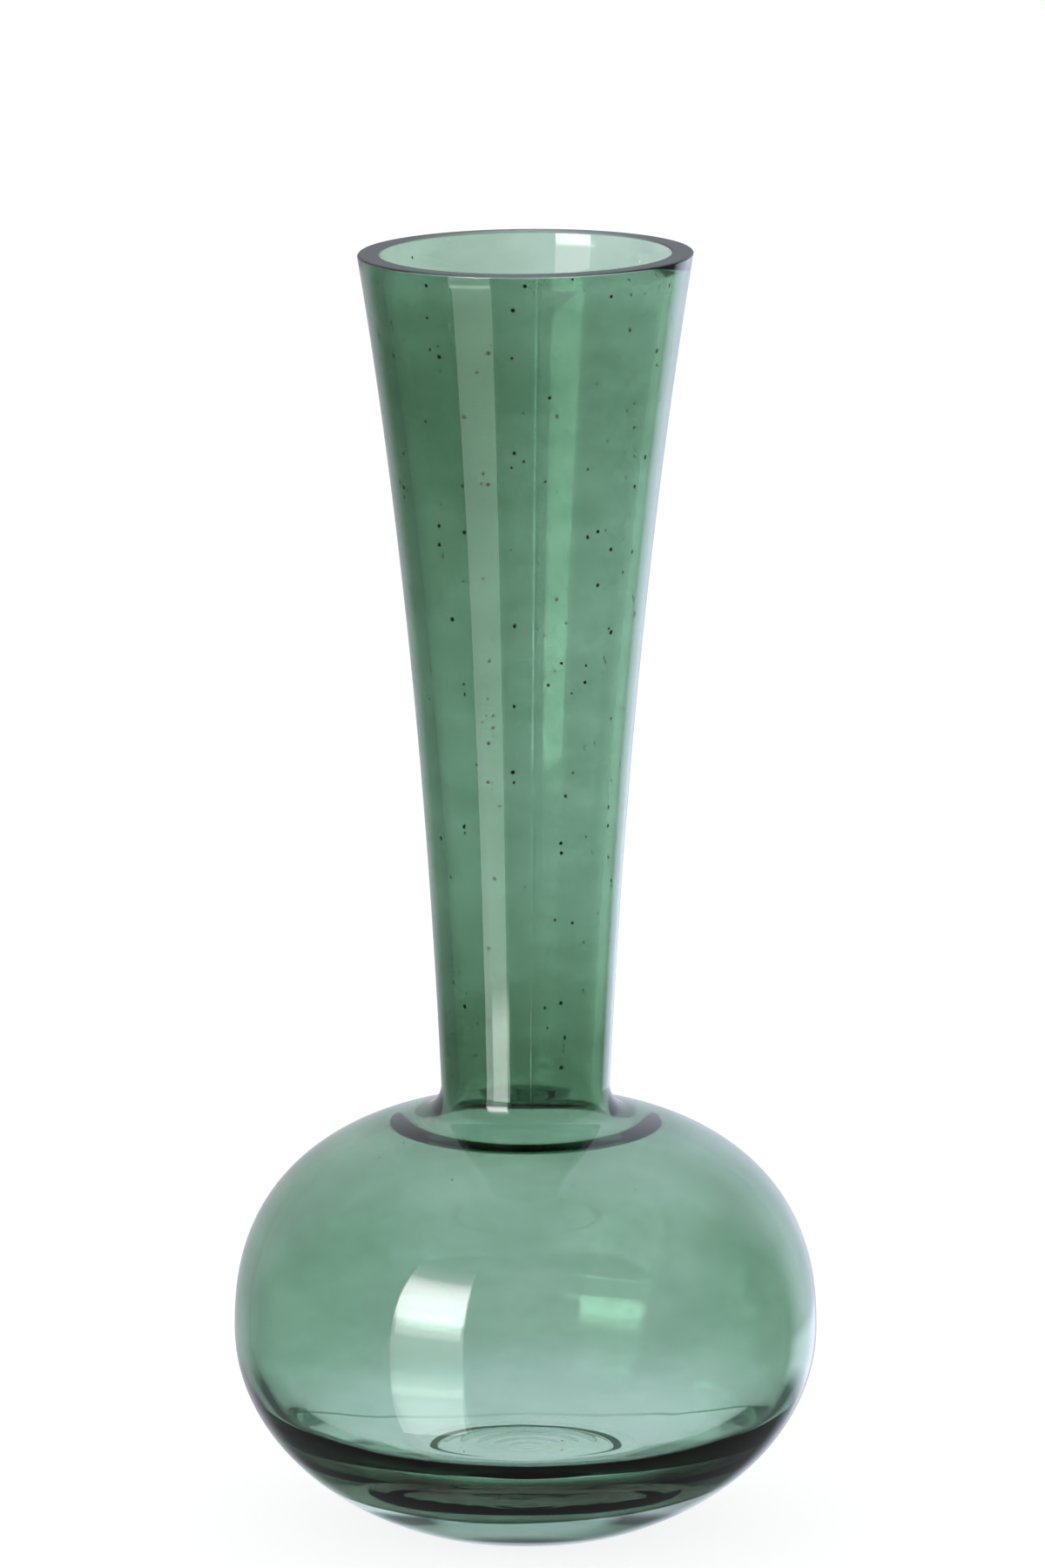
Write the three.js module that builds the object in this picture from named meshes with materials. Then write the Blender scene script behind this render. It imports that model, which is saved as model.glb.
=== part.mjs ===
// Bottle vase in mould-blown clear glass, 300 mm tall, with a thin transparent colour coat outside.
//
// Units are millimetres and +Z is up. The origin is the centre of the ring that the vase stands on.
// Both pieces are turned about the Z axis from a profile of (radius, height) points.
//
//   glass_body   the one blown piece: heavy base, flattened round body, flared neck, ground rim
//   colour_coat  the sprayed green film on the outside, from just above the base to the rim
//
// The outside of the glass is drawn from the bottom up: the belly is part of an ellipse, the shoulder
// is part of a superellipse, a small arc turns it into the neck, and the neck is one gentle curve.
// The hollow inside has its own sizes: a nearly flat floor, a round corner, a wall that follows the
// belly, and a shoulder that ends in a small level ledge round the foot of the neck.

import * as THREE from "three";

// Overall height, with the ground rim as its top
const HEIGHT = 300;

// Body, outside of the glass
const BODY_RADIUS = 67.8;
const BODY_WIDEST_HEIGHT = 46.2;
const SHOULDER_TOP_HEIGHT = 99.8; // where the shoulder curve would meet the axis without the neck
const SHOULDER_FULLNESS = 2.38; // 2 is an ellipse, more is squarer
const BELLY_FULLNESS = 2;

// Neck, outside of the glass
const NECK_ROOT_RADIUS = 19.3;
const NECK_ROOT_FILLET = 6.4;
const NECK_ROOT_LEAN = 2.6; // degrees from upright where the neck starts
const RIM_RADIUS = 38.4;
const RIM_LEAN = 9.2; // degrees from upright at the rim

// Glass thickness
const RIM_WALL = 4.9;
const NECK_ROOT_WALL = 3.9;
const SHOULDER_WALL = 4;
const BODY_WALL = 3.6; // at the widest line
const FOOT_WALL = 5.8; // what the wall would thicken to if it followed the belly down to the axis
const BASE_THICKNESS = 18.5; // at the axis, from the standing plane to the floor of the hollow

// Hollow
const FLOOR_RISE = 3; // how far the floor rises from the axis out to the next radius
const FLOOR_RISE_RADIUS = 45;
const FLOOR_FULLNESS = 4; // more is flatter in the middle and steeper at the edge
const FLOOR_CORNER_RADIUS = 16;
const INNER_SHOULDER_FILLET = 13;
const INNER_SHOULDER_LEDGE = 2; // width of the level ring of glass round that fillet

// Underside
const STANDING_RING_RADIUS = 28; // outer edge of the flat ring that the vase stands on
const STANDING_RING_WIDTH = 4;
const PUNT_DEPTH = 2.4; // rise of the hollow under the base
const PUNT_EDGE_RADIUS = 21.5; // where the steep edge of that hollow ends
const PUNT_EDGE_RISE = 1.5;

// Ground rim
const RIM_OUTER_BEVEL = 0.6;
const RIM_INNER_BEVEL = 0.5;

// Colour coat, drawn thicker than the real film so that it is a sound solid
const COAT_THICKNESS = 0.25;
const COAT_BOND_GAP = 0.15;
const COAT_EDGE_HEIGHT = 11; // lower edge of the coat, where bare glass begins

// Smoothness of the turned surfaces
const SEGMENTS = 48;
const BARE_BELLY_STEPS = 3;
const COATED_BELLY_STEPS = 5;
const SHOULDER_STEPS = 8;
const FILLET_STEPS = 4;
const NECK_STEPS = 7;
const INNER_WALL_STEPS = 4;
const CORNER_STEPS = 4;
const FLOOR_STEPS = 4;
const PUNT_STEPS = 4;

const degrees = THREE.MathUtils.degToRad;

// A quarter of a superellipse about (0, centre), from its widest point towards the axis.
// A negative rise runs downwards. Angles are 0 at the widest point and half pi on the axis.
class QuarterCurve {
  constructor(radius, centre, rise, fullness) {
    this.radius = radius;
    this.centre = centre;
    this.rise = rise;
    this.power = 2 / fullness;
    this.fullness = fullness;
  }

  point(angle) {
    const r = this.radius * Math.cos(angle) ** this.power;
    const z = this.centre + this.rise * Math.sin(angle) ** this.power;
    return new THREE.Vector2(r, z);
  }

  // Unit normal, pointing away from the centre
  normal(angle) {
    const p = this.point(angle);
    const across = (p.x / this.radius) ** (this.fullness - 1) / this.radius;
    const along = ((p.y - this.centre) / this.rise) ** (this.fullness - 1) / this.rise;
    return new THREE.Vector2(across, along).normalize();
  }

  angleAtHeight(z) {
    return Math.asin(((z - this.centre) / this.rise) ** (1 / this.power));
  }

  sample(from, to, steps) {
    const points = [];
    for (let i = 0; i <= steps; i += 1) {
      points.push(this.point(from + ((to - from) * i) / steps));
    }
    return points;
  }
}

// The largest value between two limits for which a test still holds, by halving
function lastThatHolds(from, to, holds) {
  let low = from;
  let high = to;
  for (let i = 0; i < 50; i += 1) {
    const middle = (low + high) / 2;
    if (holds(middle)) low = middle;
    else high = middle;
  }
  return low;
}

// The shoulder, the arc at the neck's root and the neck, from the widest line up to the end height.
// With a ledge, the shoulder ends in a level ring of that width and the arc starts from the ring.
function shoulderToRim(shape) {
  const rise = shape.shoulderTop - shape.widestHeight;
  const shoulder = new QuarterCurve(shape.bodyRadius, shape.widestHeight, rise, shape.fullness);
  const lean = degrees(shape.rootLean);
  const centreRadius = shape.neckRadius + shape.fillet * Math.cos(lean);

  // The arc's centre lies one fillet radius outside the shoulder, or straight above the ledge
  const arcCentre = (angle) => {
    const point = shoulder.point(angle);
    if (shape.ledge) return new THREE.Vector2(point.x - shape.ledge, point.y + shape.fillet);
    return point.add(shoulder.normal(angle).multiplyScalar(shape.fillet));
  };
  const end = lastThatHolds(0, Math.PI / 2, (angle) => arcCentre(angle).x > centreRadius);
  const points = shoulder.sample(0, end, SHOULDER_STEPS);

  // The arc, from the shoulder's end round to the neck
  const centre = arcCentre(end);
  if (shape.ledge) points.push(new THREE.Vector2(centre.x, centre.y - shape.fillet));
  const arcStart = shape.ledge ? 1.5 * Math.PI : shoulder.normal(end).negate().angle();
  const arcEnd = Math.PI - lean;
  for (let i = 1; i <= FILLET_STEPS; i += 1) {
    const angle = arcStart + ((arcEnd - arcStart) * i) / FILLET_STEPS;
    const x = centre.x + shape.fillet * Math.cos(angle);
    const y = centre.y + shape.fillet * Math.sin(angle);
    points.push(new THREE.Vector2(x, y));
  }

  // The neck, one cubic curve that leaves the arc along its tangent and ends at the rim's lean
  const start = points[points.length - 1];
  const rimPoint = new THREE.Vector2(shape.rimRadius, shape.endHeight);
  const pull = (shape.endHeight - start.y) / 3;
  const rimLean = degrees(shape.rimLean);
  const neck = new THREE.CubicBezierCurve(
    start,
    new THREE.Vector2(start.x + pull * Math.sin(lean), start.y + pull * Math.cos(lean)),
    new THREE.Vector2(rimPoint.x - pull * Math.sin(rimLean), rimPoint.y - pull * Math.cos(rimLean)),
    rimPoint,
  );
  points.push(...neck.getPoints(NECK_STEPS).slice(1));
  return points;
}

// The outside of the glass
const bellyShare = 1 - (STANDING_RING_RADIUS / BODY_RADIUS) ** BELLY_FULLNESS;
const bellyDrop = BODY_WIDEST_HEIGHT / bellyShare ** (1 / BELLY_FULLNESS);
const belly = new QuarterCurve(BODY_RADIUS, BODY_WIDEST_HEIGHT, -bellyDrop, BELLY_FULLNESS);
const coatEdgeAngle = belly.angleAtHeight(COAT_EDGE_HEIGHT);
const bareBelly = belly.sample(belly.angleAtHeight(0), coatEdgeAngle, BARE_BELLY_STEPS);
const coatedBelly = belly.sample(coatEdgeAngle, 0, COATED_BELLY_STEPS);

const upperOutside = shoulderToRim({
  bodyRadius: BODY_RADIUS,
  widestHeight: BODY_WIDEST_HEIGHT,
  shoulderTop: SHOULDER_TOP_HEIGHT,
  fullness: SHOULDER_FULLNESS,
  neckRadius: NECK_ROOT_RADIUS,
  fillet: NECK_ROOT_FILLET,
  ledge: 0,
  rootLean: NECK_ROOT_LEAN,
  rimRadius: RIM_RADIUS,
  rimLean: RIM_LEAN,
  endHeight: HEIGHT - RIM_OUTER_BEVEL,
});
const coatedOutside = [...coatedBelly, ...upperOutside.slice(1)];

// The hollow below its widest line, from the floor's centre up. The wall follows the belly, and one
// round corner joins it to the dished floor.
function hollowFloor() {
  const wall = (angle) => {
    const thickness = BODY_WALL + (FOOT_WALL - BODY_WALL) * Math.sin(angle) ** 2;
    return belly.point(angle).sub(belly.normal(angle).multiplyScalar(thickness));
  };
  const floorHeight = (r) => BASE_THICKNESS + FLOOR_RISE * (r / FLOOR_RISE_RADIUS) ** FLOOR_FULLNESS;
  const floorSlope = (r) => ((floorHeight(r) - BASE_THICKNESS) * FLOOR_FULLNESS) / r;

  // Square to the wall, out of the hollow, from two wall points close together
  const wallNormal = (angle) => {
    const step = wall(angle + 0.001).sub(wall(angle));
    return new THREE.Vector2(-step.y, step.x).normalize();
  };
  const cornerCentre = (angle) => {
    const offset = wallNormal(angle).multiplyScalar(FLOOR_CORNER_RADIUS);
    return wall(angle).sub(offset);
  };

  // The floor's point nearest to the corner's centre: the line between them is square to the floor
  const nearest = (centre) => {
    const before = (r) => r - centre.x + (floorHeight(r) - centre.y) * floorSlope(r) < 0;
    const r = lastThatHolds(centre.x, centre.x + FLOOR_CORNER_RADIUS, before);
    return new THREE.Vector2(r, floorHeight(r));
  };
  const clear = (angle) => {
    const centre = cornerCentre(angle);
    return nearest(centre).distanceTo(centre) > FLOOR_CORNER_RADIUS;
  };
  const wallEnd = lastThatHolds(0, 1.4, clear);
  const centre = cornerCentre(wallEnd);
  const floorEnd = nearest(centre);

  const points = [];
  for (let i = 0; i < FLOOR_STEPS; i += 1) {
    const r = (floorEnd.x * i) / FLOOR_STEPS;
    points.push(new THREE.Vector2(r, floorHeight(r)));
  }
  const cornerStart = floorEnd.clone().sub(centre).angle();
  const cornerTurn = wallNormal(wallEnd).angle() - cornerStart;
  for (let i = 0; i < CORNER_STEPS; i += 1) {
    const angle = cornerStart + (cornerTurn * i) / CORNER_STEPS;
    const x = centre.x + FLOOR_CORNER_RADIUS * Math.cos(angle);
    const y = centre.y + FLOOR_CORNER_RADIUS * Math.sin(angle);
    points.push(new THREE.Vector2(x, y));
  }
  for (let i = 0; i <= INNER_WALL_STEPS; i += 1) {
    points.push(wall(wallEnd * (1 - i / INNER_WALL_STEPS)));
  }
  return points;
}

const upperInside = shoulderToRim({
  bodyRadius: BODY_RADIUS - BODY_WALL,
  widestHeight: BODY_WIDEST_HEIGHT,
  shoulderTop: SHOULDER_TOP_HEIGHT - SHOULDER_WALL,
  fullness: SHOULDER_FULLNESS,
  neckRadius: NECK_ROOT_RADIUS - NECK_ROOT_WALL,
  fillet: INNER_SHOULDER_FILLET,
  ledge: INNER_SHOULDER_LEDGE,
  rootLean: NECK_ROOT_LEAN,
  rimRadius: RIM_RADIUS - RIM_WALL,
  rimLean: RIM_LEAN,
  endHeight: HEIGHT - RIM_INNER_BEVEL,
});
const inside = [...hollowFloor(), ...upperInside.slice(1)];

// The underside, from the axis out to the flat standing ring
function underside() {
  const points = [];
  for (let i = 0; i <= PUNT_STEPS; i += 1) {
    const share = i / PUNT_STEPS;
    const z = PUNT_DEPTH - (PUNT_DEPTH - PUNT_EDGE_RISE) * share ** 2;
    points.push(new THREE.Vector2(PUNT_EDGE_RADIUS * share, z));
  }
  points.push(new THREE.Vector2(STANDING_RING_RADIUS - STANDING_RING_WIDTH, 0));
  return points;
}

// The flat ground face between its two bevels, from the outside in
function rim() {
  return [
    new THREE.Vector2(RIM_RADIUS - RIM_OUTER_BEVEL, HEIGHT),
    new THREE.Vector2(RIM_RADIUS - RIM_WALL + RIM_INNER_BEVEL, HEIGHT),
  ];
}

// Each point of a profile moved outwards, square to the profile, by a distance
function offsetProfile(points, distance) {
  return points.map((p, i) => {
    const before = points[Math.max(i - 1, 0)];
    const after = points[Math.min(i + 1, points.length - 1)];
    const along = after.clone().sub(before).normalize();
    return new THREE.Vector2(p.x + along.y * distance, p.y - along.x * distance);
  });
}

// A closed body turned about the Z axis from a profile
function turned(name, profile, material) {
  const geometry = new THREE.LatheGeometry(profile, SEGMENTS);
  geometry.rotateX(Math.PI / 2);
  const mesh = new THREE.Mesh(geometry, material);
  mesh.name = name;
  return mesh;
}

// Clear soda-lime glass, polished by the mould and the fire
function glassBody() {
  const material = new THREE.MeshStandardMaterial({ color: 0xdfe8e6, roughness: 0.03, metalness: 0 });
  const profile = [
    ...underside(),
    ...bareBelly,
    ...coatedOutside.slice(1),
    ...rim(),
    ...inside.slice().reverse(),
  ];
  return turned("glass_body", profile, material);
}

// Transparent green lacquer, sprayed on the outside
function colourCoat() {
  const material = new THREE.MeshStandardMaterial({ color: 0x6f9f87, roughness: 0.05, metalness: 0 });
  const innerSkin = offsetProfile(coatedOutside, COAT_BOND_GAP);
  const outerSkin = offsetProfile(coatedOutside, COAT_BOND_GAP + COAT_THICKNESS);
  const profile = [...outerSkin, ...innerSkin.reverse(), outerSkin[0].clone()];
  return turned("colour_coat", profile, material);
}

const vase = new THREE.Group();
vase.add(glassBody());
vase.add(colourCoat());

export default vase;
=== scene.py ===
"""Looks of a mould-blown glass bottle vase with a thin transparent green coat.

The vase is two pieces. GlassBody is the clear glass: thick base, flattened round body, flared neck
and ground rim. ColourCoat is the lacquer film that lies just under the glass's outermost skin, so
that light reflected off the outside stays white and light that passes is tinted. Both are turned
about the Z axis by one Geometry Nodes tree from profiles worked out here. The vase stands on the
origin, and the photograph looks at it along +Y. Profiles are in millimetres until the turning.
"""

import logging
import math
from dataclasses import dataclass, field, fields, replace
from enum import Enum

import bpy
import bmesh
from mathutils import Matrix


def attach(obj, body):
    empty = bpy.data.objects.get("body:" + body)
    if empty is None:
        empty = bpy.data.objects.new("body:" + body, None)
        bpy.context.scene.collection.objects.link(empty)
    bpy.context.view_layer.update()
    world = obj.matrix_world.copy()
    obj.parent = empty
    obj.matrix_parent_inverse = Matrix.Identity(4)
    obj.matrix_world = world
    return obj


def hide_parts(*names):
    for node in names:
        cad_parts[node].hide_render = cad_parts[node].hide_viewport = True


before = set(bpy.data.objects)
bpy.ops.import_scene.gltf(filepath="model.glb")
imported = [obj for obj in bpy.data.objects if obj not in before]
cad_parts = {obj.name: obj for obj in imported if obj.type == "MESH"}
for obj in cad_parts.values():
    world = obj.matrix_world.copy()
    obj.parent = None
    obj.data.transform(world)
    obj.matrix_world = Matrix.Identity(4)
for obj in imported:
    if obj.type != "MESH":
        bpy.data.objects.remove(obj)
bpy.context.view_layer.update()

LOG = logging.getLogger("vase")

MM = 0.001  # metres in a millimetre
MILLILITRES = 1e6  # in a cubic metre
HALVINGS = 60  # steps of a search by halving
WHITE = (1.0, 1.0, 1.0, 1.0)

MATH = "ShaderNodeMath"
VECTOR_MATH = "ShaderNodeVectorMath"
SEPARATE = "ShaderNodeSeparateXYZ"
MAP_RANGE = "ShaderNodeMapRange"
NOISE = "ShaderNodeTexNoise"
MIX = "ShaderNodeMix"
SOFTLY = {"interpolation_type": "SMOOTHSTEP"}

Socket = bpy.types.NodeSocket
Tree = bpy.types.NodeTree
Colour = tuple[float, float, float]
Pair = tuple[float, float]  # radius and height, or the ends of a span
Stops = tuple[Pair, ...]
Corners = tuple[tuple[float, float, float], ...]


class Skin(Enum):
    """Which finish a ring of the glass has."""

    POLISHED = 0
    GROUND = 1


class Ray(Enum):
    """Light Path outputs that choose what the studio shows."""

    CAMERA = "Is Camera Ray"
    GLOSSY = "Is Glossy Ray"
    TRANSMISSION = "Is Transmission Ray"


def linear(hex_colour: str) -> Colour:
    """Turns an sRGB hex colour into linear values.

    Args:
        hex_colour: six hex digits, such as "9fb7aa".

    Returns:
        Red, green and blue from 0 to 1, linear.
    """
    channels = [int(hex_colour[i : i + 2], 16) / 255 for i in (0, 2, 4)]
    return tuple(c / 12.92 if c <= 0.04045 else ((c + 0.055) / 1.055) ** 2.4 for c in channels)


def pick_socket(sockets: object, key: int | str) -> Socket:
    """Finds a node's socket.

    Args:
        sockets: the node's inputs or outputs.
        key: an index or a name, among the sockets that are enabled.

    Returns:
        The socket.
    """
    enabled = [s for s in sockets if s.enabled]
    if isinstance(key, int):
        return enabled[key]
    return next(s for s in enabled if s.name == key)


def add(tree: Tree, kind: str, *values: object, output: int | str = 0, **more: object) -> Socket:
    """Adds a node with its settings and links.

    Args:
        tree: the node tree.
        kind: the node's type.
        values: plain values, or sockets to link from, in the order of the node's inputs.
        output: the output to return, by index or name.
        more: settings of the node, in small letters, and inputs by name, with a capital and
            underscores for spaces.

    Returns:
        The chosen output socket, or the node's first input where it has no output.
    """
    node = tree.nodes.new(kind)
    inputs = dict(enumerate(values))
    for name, value in more.items():
        if name[0].islower():
            setattr(node, name, value)
        else:
            inputs[name.replace("_", " ")] = value
    for key, value in inputs.items():
        target = pick_socket(node.inputs, key)
        if isinstance(value, Socket):
            tree.links.new(value, target)
        else:
            target.default_value = value
    return pick_socket(node.outputs, output) if node.outputs else node.inputs[0]


def curve(tree: Tree, value: Socket, stops: Stops) -> Socket:
    """Adds a colour ramp that turns one number into another by straight pieces.

    Args:
        tree: the node tree.
        value: the number's socket.
        stops: pairs of number and result, in rising order.

    Returns:
        The result's socket.
    """
    low, high = stops[0][0], stops[-1][0]
    most = max(result for _, result in stops)
    share = add(tree, MAP_RANGE, value, low, high)
    shades = add(tree, "ShaderNodeValToRGB", share)
    ramp = shades.node.color_ramp
    while len(ramp.elements) < len(stops):
        ramp.elements.new(0.5)
    for stop, (number, result) in zip(ramp.elements, stops):
        stop.position = (number - low) / (high - low)
        stop.color = (*(result / most,) * 3, 1.0)
    return add(tree, MATH, shades, most, operation="MULTIPLY")


def risen(value: float, span: Pair) -> float:
    """How far a value has come from a span's start, 0, to its end, 1."""
    return min(max((value - span[0]) / (span[1] - span[0]), 0.0), 1.0)


# The shape, the same rules and sizes as the solids


def arc_points(centre: Pair, radius: float, first: float, last: float, steps: int) -> list[Pair]:
    """Points along an arc, without its first.

    Args:
        centre: the arc's centre.
        radius: its radius.
        first: the angle at which it starts.
        last: the angle at which it ends.
        steps: how many points.

    Returns:
        The points.
    """
    turns = [first + (last - first) * i / steps for i in range(1, steps + 1)]
    return [(centre[0] + radius * math.cos(t), centre[1] + radius * math.sin(t)) for t in turns]


@dataclass(frozen=True)
class QuarterCurve:
    """A quarter of a superellipse about (0, centre), from its widest point towards the axis."""

    radius: float
    centre: float
    rise: float
    fullness: float

    def point(self, angle: float) -> Pair:
        """Works out a point of the curve.

        Args:
            angle: from 0, the widest point, to half pi, on the axis.

        Returns:
            Radius and height.
        """
        r = self.radius * max(math.cos(angle), 0.0) ** (2 / self.fullness)
        z = self.centre + self.rise * max(math.sin(angle), 0.0) ** (2 / self.fullness)
        return r, z

    def normal(self, angle: float) -> Pair:
        """Works out which way the curve faces.

        Args:
            angle: the angle of a point.

        Returns:
            Unit normal there, pointing away from the centre.
        """
        r, z = self.point(angle)
        across = (r / self.radius) ** (self.fullness - 1) / self.radius
        along = ((z - self.centre) / self.rise) ** (self.fullness - 1) / self.rise
        length = math.hypot(across, along)
        return across / length, along / length

    def angle_at(self, z: float) -> float:
        """The angle at a height."""
        return math.asin(((z - self.centre) / self.rise) ** (self.fullness / 2))

    def sample(self, start: float, end: float, steps: int) -> list[Pair]:
        """Points from one angle to another, both included."""
        return [self.point(start + (end - start) * i / steps) for i in range(steps + 1)]


@dataclass(frozen=True)
class WallLine:
    """One side of the glass from its widest line up to the rim: shoulder, arc and neck."""

    body_radius: float
    widest_height: float
    shoulder_top: float
    fullness: float
    neck_radius: float
    fillet: float
    root_lean: float
    rim_radius: float
    rim_lean: float
    end_height: float
    ledge: float = 0.0  # width of a level ring between shoulder and arc
    shoulder_steps: int = 56
    ledge_steps: int = 4
    fillet_steps: int = 14
    neck_steps: int = 56

    def points(self) -> list[Pair]:
        """Works out the line.

        Returns:
            Radius and height pairs from the widest line to the end height.
        """
        rise = self.shoulder_top - self.widest_height
        shoulder = QuarterCurve(self.body_radius, self.widest_height, rise, self.fullness)
        lean = math.radians(self.root_lean)
        low, high = 0.0, math.pi / 2
        for _ in range(HALVINGS):
            middle = (low + high) / 2
            centre, _ = self.arc(shoulder, middle)
            if centre[0] - self.fillet * math.cos(lean) > self.neck_radius:
                low = middle
            else:
                high = middle
        points = shoulder.sample(0.0, low, self.shoulder_steps)
        centre, first = self.arc(shoulder, low)
        last = math.pi - lean
        if self.ledge:
            r, z = points[-1]
            steps = self.ledge_steps
            points += [(r - self.ledge * i / steps, z) for i in range(1, steps + 1)]
        points += arc_points(centre, self.fillet, first, last, self.fillet_steps)
        points += self.neck(points[-1], lean)
        return points

    def arc(self, shoulder: QuarterCurve, angle: float) -> tuple[Pair, float]:
        """The arc between shoulder and neck.

        Args:
            shoulder: the shoulder's curve.
            angle: where the shoulder ends.

        Returns:
            The arc's centre and the angle at which it starts.
        """
        r, z = shoulder.point(angle)
        if self.ledge:
            return (r - self.ledge, z + self.fillet), 1.5 * math.pi
        across, along = shoulder.normal(angle)
        start = math.atan2(-along, -across) % (2 * math.pi)
        return (r + self.fillet * across, z + self.fillet * along), start

    def neck(self, start: Pair, lean: float) -> list[Pair]:
        """The neck's one cubic curve.

        Args:
            start: where the arc ends.
            lean: the slope there, in radians from upright.

        Returns:
            Points after the start, up to the end height.
        """
        pull = (self.end_height - start[1]) / 3
        rim_lean = math.radians(self.rim_lean)
        handles = (
            start,
            (start[0] + pull * math.sin(lean), start[1] + pull * math.cos(lean)),
            (
                self.rim_radius - pull * math.sin(rim_lean),
                self.end_height - pull * math.cos(rim_lean),
            ),
            (self.rim_radius, self.end_height),
        )
        points = []
        for i in range(1, self.neck_steps + 1):
            t = i / self.neck_steps
            weights = ((1 - t) ** 3, 3 * (1 - t) ** 2 * t, 3 * (1 - t) * t * t, t**3)
            points.append(
                tuple(sum(w * h[axis] for w, h in zip(weights, handles)) for axis in (0, 1))
            )
        return points


@dataclass(frozen=True)
class HollowFloor:
    """The hollow below its widest line: a wall along the belly, a round corner, a dished floor."""

    belly: QuarterCurve
    side_wall: float
    foot_wall: float
    base_thickness: float
    dish_rise: float
    dish_radius: float
    dish_fullness: float
    corner: float
    wall_steps: int = 30
    corner_steps: int = 24
    floor_steps: int = 36
    latest_start: float = 1.4  # radians up the belly, before which the corner starts
    slope_turn: float = 0.001  # radians, to either side, over which the wall's slope is taken
    slope_reach: float = 0.01  # millimetres, the same for the floor

    def wall(self, angle: float) -> Pair:
        """Works out the inner wall.

        Args:
            angle: the angle of a point of the belly.

        Returns:
            The wall's point opposite it.
        """
        r, z = self.belly.point(angle)
        across, along = self.belly.normal(angle)
        share = math.sin(angle) ** 2
        thickness = self.side_wall + (self.foot_wall - self.side_wall) * share
        return r - across * thickness, z - along * thickness

    def out(self, angle: float) -> Pair:
        """Works out which way is out of the hollow.

        Args:
            angle: the angle of a point of the belly.

        Returns:
            Unit direction at the wall opposite it.
        """
        r0, z0 = self.wall(angle - self.slope_turn)
        r1, z1 = self.wall(angle + self.slope_turn)
        length = math.hypot(r1 - r0, z1 - z0)
        return (z0 - z1) / length, (r1 - r0) / length

    def height(self, r: float) -> float:
        """Height of the dished floor at a radius."""
        return self.base_thickness + self.dish_rise * (r / self.dish_radius) ** self.dish_fullness

    def centre(self, angle: float) -> Pair:
        """The corner's centre, where the corner starts at an angle of the belly."""
        (r, z), (across, along) = self.wall(angle), self.out(angle)
        return r - self.corner * across, z - self.corner * along

    def nearest(self, centre: Pair) -> float:
        """Finds where the floor is nearest to a centre above it.

        Args:
            centre: the centre.

        Returns:
            Radius of the nearest point.
        """
        low, high = centre[0], centre[0] + self.corner
        for _ in range(HALVINGS):
            r = (low + high) / 2
            climb = self.height(r + self.slope_reach) - self.height(r - self.slope_reach)
            slope = climb / (2 * self.slope_reach)
            if r - centre[0] + (self.height(r) - centre[1]) * slope < 0:
                low = r
            else:
                high = r
        return low

    def points(self) -> list[Pair]:
        """Works out the line.

        Returns:
            Radius and height pairs from the middle of the floor up to the widest line.
        """
        low, high = 0.0, self.latest_start
        for _ in range(HALVINGS):
            angle = (low + high) / 2
            centre = self.centre(angle)
            r = self.nearest(centre)
            if math.hypot(r - centre[0], self.height(r) - centre[1]) > self.corner:
                low = angle
            else:
                high = angle
        centre = self.centre(low)
        touch = self.nearest(centre)
        across, along = self.out(low)
        first = math.atan2(along, across)
        last = math.atan2(self.height(touch) - centre[1], touch - centre[0])
        points = [self.wall(low * i / self.wall_steps) for i in range(self.wall_steps + 1)]
        points += arc_points(centre, self.corner, first, last, self.corner_steps)
        for i in range(1, self.floor_steps + 1):
            r = touch * (1 - i / self.floor_steps)
            points.append((r, self.height(r)))
        return points[::-1]


@dataclass(frozen=True)
class VaseSizes:
    """Every size of the vase, in millimetres and degrees."""

    height: float = 300.0
    body_radius: float = 68.2
    widest_height: float = 46.2
    shoulder_top: float = 100.2
    shoulder_fullness: float = 2.38
    belly_fullness: float = 2.0
    neck_root_radius: float = 19.7
    neck_root_fillet: float = 6.0
    neck_root_lean: float = 2.6
    rim_radius: float = 38.8
    rim_lean: float = 9.2
    rim_wall: float = 5.1
    neck_root_wall: float = 4.1
    shoulder_wall: float = 4.2
    body_wall: float = 3.8
    foot_wall: float = 6.0  # the wall would grow to this on the axis
    base_thickness: float = 18.5
    dish_rise: float = 3.0
    dish_radius: float = 45.0
    dish_fullness: float = 4.0
    floor_corner: float = 16.0
    inner_shoulder_fillet: float = 13.0
    inner_shoulder_ledge: float = 1.9
    standing_ring_radius: float = 28.2
    standing_ring_width: float = 4.2
    punt_depth: float = 2.4
    punt_edge_radius: float = 21.5
    punt_edge_rise: float = 1.5
    rim_bevel: float = 0.5
    coat_depth: float = 0.05  # from the outermost skin down to the coat
    coat_thickness: float = 0.05
    coat_start_height: float = 1.0  # the film's fade-out ends here, below its lowest edge


@dataclass
class Ring:
    """One ring of a turned piece.

    Args:
        r: radius.
        z: height.
        seam: how much of the mould seam's ridge it has, 0 to 1.
        wobble: how uneven the glass is there, 0 to 1.
        ripple: how much of the ripples of the base it has, 0 to 1.
        skin: its finish.
        out: unit direction out of the glass, as radius and height.
    """

    r: float
    z: float
    seam: float = 0.0
    wobble: float = 0.0
    ripple: float = 0.0
    skin: Skin = Skin.POLISHED
    out: Pair = (1.0, 0.0)


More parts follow.
